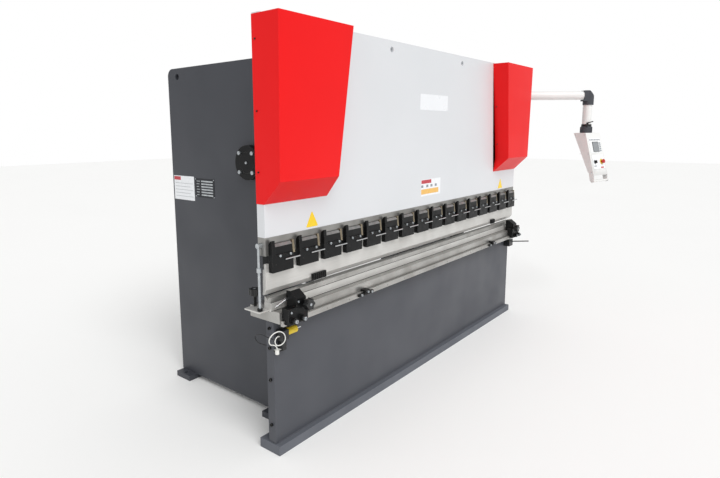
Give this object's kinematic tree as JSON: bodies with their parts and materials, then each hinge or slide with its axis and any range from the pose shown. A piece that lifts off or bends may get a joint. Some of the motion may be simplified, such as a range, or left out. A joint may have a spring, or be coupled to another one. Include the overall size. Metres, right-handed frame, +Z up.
{
  "type": "press brake",
  "caption": "Hydraulic press brake with torsion shaft, punch and die on a long bench, back gauge, electrical cabinet and a swinging control pendant.",
  "frame": {"origin": "on the floor, at mid-length, under the front face of the ram", "axes": "+X to the right along the bending line seen from the operator, +Y to the rear, +Z up"},
  "size_m": [4.0189, 1.9259, 2.3],
  "materials": {
    "frame_paint": "fine textured grey machine paint",
    "ram_paint": "smooth light grey-white paint above a bare ground steel strip",
    "cover_paint": "glossy red powder coat on folded sheet",
    "ground_steel": "ground and oiled steel",
    "black_oxide": "black oxide on milled steel",
    "bright_steel": "hard chromed steel",
    "wedge_brass": "milled brass",
    "tank_paint": "fine textured grey machine paint",
    "motor_paint": "blue enamel on ribbed casting",
    "valve_steel": "milled and zinc plated steel",
    "gauge_paint": "light grey paint",
    "gauge_alloy": "anodised aluminium",
    "belt_rubber": "moulded rubber with cord",
    "cabinet_paint": "light grey powder coat",
    "black_plastic": "fine grained moulded plastic",
    "switch_red": "gloss moulded plastic",
    "pendant_paint": "smooth white powder coat",
    "elbow_grey": "dark grey coated die casting",
    "screen_grey": "display window and printed panel film",
    "sensor_yellow": "yellow enamelled sensor body",
    "cable_jacket": "smooth cable jacket"
  },
  "bodies": {
    "frame": {"left_side_plate": "frame_paint", "right_side_plate": "frame_paint", "bench_plate": "frame_paint", "foot_bar": "frame_paint", "cross_beams": "frame_paint", "table_plate": "ground_steel", "front_rail": "ground_steel", "die_rail": "ground_steel", "die": "ground_steel", "ram_guides": "frame_paint", "cylinders": "frame_paint", "torsion_bearings": "black_oxide", "oil_tank": "tank_paint", "pump_motor": "motor_paint", "valve_block": "valve_steel", "pressure_pipes": "valve_steel", "gauge_supports": "gauge_paint", "gauge_motor": "black_plastic", "gauge_belt": "belt_rubber", "cabinet_box": "cabinet_paint", "arm_bracket": "frame_paint", "limit_switch": "sensor_yellow", "sensor_cables": "cable_jacket", "rod_guide": "ground_steel"},
    "ram": {"ram_plate": "ram_paint", "left_cover": "cover_paint", "right_cover": "cover_paint", "clamp_bodies": "black_oxide", "clamp_plates": "black_oxide", "clamp_bolts": "bright_steel", "clamp_wedges": "wedge_brass", "punch": "ground_steel", "piston_rods": "bright_steel", "ram_links": "frame_paint", "stroke_rod": "bright_steel"},
    "torsion": {"torsion_shaft": "frame_paint"},
    "left_screw": {"left_gauge_screw": "bright_steel"},
    "right_screw": {"right_gauge_screw": "bright_steel"},
    "gauge": {"gauge_beam": "gauge_alloy"},
    "left_stop": {"left_finger": "gauge_alloy"},
    "right_stop": {"right_finger": "gauge_alloy"},
    "door": {"cabinet_door": "cabinet_paint"},
    "handle": {"door_handle": "black_plastic"},
    "isolator": {"main_switch": "switch_red"},
    "arm": {"pendant_arm": "pendant_paint", "arm_elbow": "elbow_grey"},
    "clamp": {"clamp_lever": "black_plastic"},
    "head": {"pendant_collar": "elbow_grey", "pendant_housing": "pendant_paint", "pendant_screen": "screen_grey"},
    "stop_button": {"emergency_stop": "switch_red"},
    "selector": {"mode_selector": "black_plastic"},
    "knob": {"star_knob": "black_plastic"},
    "left_slider": {"left_bracket": "black_oxide"},
    "right_slider": {"right_bracket": "black_oxide"},
    "left_slider_knob": {"left_bracket_knob": "black_plastic"},
    "right_slider_knob": {"right_bracket_knob": "black_plastic"},
    "left_slider_lever": {"left_bracket_lever": "bright_steel"},
    "right_slider_lever": {"right_bracket_lever": "bright_steel"},
    "plunger": {"switch_plunger": "bright_steel"}
  },
  "joints": [
    {"name": "ram_slide", "type": "slide", "parent": "frame", "child": "ram", "axis": [0, 0, 1], "range_m": [-0.024, 0.096]},
    {"name": "torsion_turn", "type": "hinge", "parent": "frame", "child": "torsion", "pos_m": [0, 0.455, 1.557], "axis": [1, 0, 0], "range_deg": [-18.4, 4.7]},
    {"name": "gauge_travel", "type": "slide", "parent": "frame", "child": "gauge", "axis": [0, 1, 0], "range_m": [-0.14, 0.35]},
    {"name": "left_screw_turn", "type": "hinge", "parent": "frame", "child": "left_screw", "pos_m": [-0.925, 0.5, 0.775], "axis": [0, 1, 0], "range_deg": [-2520.5, 6300.5]},
    {"name": "right_screw_turn", "type": "hinge", "parent": "frame", "child": "right_screw", "pos_m": [0.925, 0.5, 0.775], "axis": [0, 1, 0], "range_deg": [-2520.5, 6300.5]},
    {"name": "left_stop_slide", "type": "slide", "parent": "gauge", "child": "left_stop", "axis": [1, 0, 0], "range_m": [-0.5, 0.4]},
    {"name": "right_stop_slide", "type": "slide", "parent": "gauge", "child": "right_stop", "axis": [1, 0, 0], "range_m": [-0.4, 0.5]},
    {"name": "door_swing", "type": "hinge", "parent": "frame", "child": "door", "pos_m": [1.5068, 1.168, 1.21], "axis": [0, 0, 1], "range_deg": [0, 110]},
    {"name": "handle_turn", "type": "hinge", "parent": "door", "child": "handle", "pos_m": [1.5168, 0.61, 1.21], "axis": [1, 0, 0], "range_deg": [0, 90]},
    {"name": "isolator_turn", "type": "hinge", "parent": "door", "child": "isolator", "pos_m": [1.5168, 0.86, 1.5], "axis": [1, 0, 0], "range_deg": [0, 90]},
    {"name": "arm_swing", "type": "hinge", "parent": "frame", "child": "arm", "pos_m": [1.7, 0.18, 2.064], "axis": [0, 0, 1], "range_deg": [-40, 70]},
    {"name": "clamp_turn", "type": "hinge", "parent": "arm", "child": "clamp", "pos_m": [2.22269, -0.45182, 1.779], "axis": [0, 0, 1], "range_deg": [0, 60]},
    {"name": "head_swivel", "type": "hinge", "parent": "arm", "child": "head", "pos_m": [2.22269, -0.45182, 1.74], "axis": [0, 0, 1], "range_deg": [-120, 120]},
    {"name": "stop_push", "type": "slide", "parent": "head", "child": "stop_button", "axis": [0.2109, 0.9437, -0.255], "range_m": [0, 0.005]},
    {"name": "selector_turn", "type": "hinge", "parent": "head", "child": "selector", "pos_m": [2.14511, -0.56966, 1.43145], "axis": [-0.2109, -0.9437, 0.255], "range_deg": [-45, 45]},
    {"name": "knob_turn", "type": "hinge", "parent": "frame", "child": "knob", "pos_m": [-1.574, 0.118, 0.89], "axis": [0, 0, 1], "range_deg": [-180, 180]},
    {"name": "left_slider_slide", "type": "slide", "parent": "frame", "child": "left_slider", "axis": [1, 0, 0], "range_m": [0, 1.3]},
    {"name": "right_slider_slide", "type": "slide", "parent": "frame", "child": "right_slider", "axis": [1, 0, 0], "range_m": [-1.3, 0]},
    {"name": "left_knob_turn", "type": "hinge", "parent": "left_slider", "child": "left_slider_knob", "pos_m": [-1.415, -0.12, 0.842], "axis": [0, -1, 0], "range_deg": [0, 360]},
    {"name": "right_knob_turn", "type": "hinge", "parent": "right_slider", "child": "right_slider_knob", "pos_m": [1.415, -0.12, 0.842], "axis": [0, -1, 0], "range_deg": [0, 360]},
    {"name": "left_lever_turn", "type": "hinge", "parent": "left_slider", "child": "left_slider_lever", "pos_m": [-1.49, -0.035, 0.87], "axis": [1, 0, 0], "range_deg": [-45, 45]},
    {"name": "right_lever_turn", "type": "hinge", "parent": "right_slider", "child": "right_slider_lever", "pos_m": [1.49, -0.035, 0.87], "axis": [1, 0, 0], "range_deg": [-45, 45]},
    {"name": "plunger_push", "type": "slide", "parent": "frame", "child": "plunger", "axis": [1, 0, 0], "range_m": [-0.01, 0], "stiffness_N_per_m": 400}
  ],
  "couplings": [
    {"joint": "torsion_turn", "follows": "ram_slide", "rad_per_m": -3.3333},
    {"joint": "left_screw_turn", "follows": "gauge_travel", "rad_per_m": 314.16},
    {"joint": "right_screw_turn", "follows": "gauge_travel", "rad_per_m": 314.16}
  ]
}
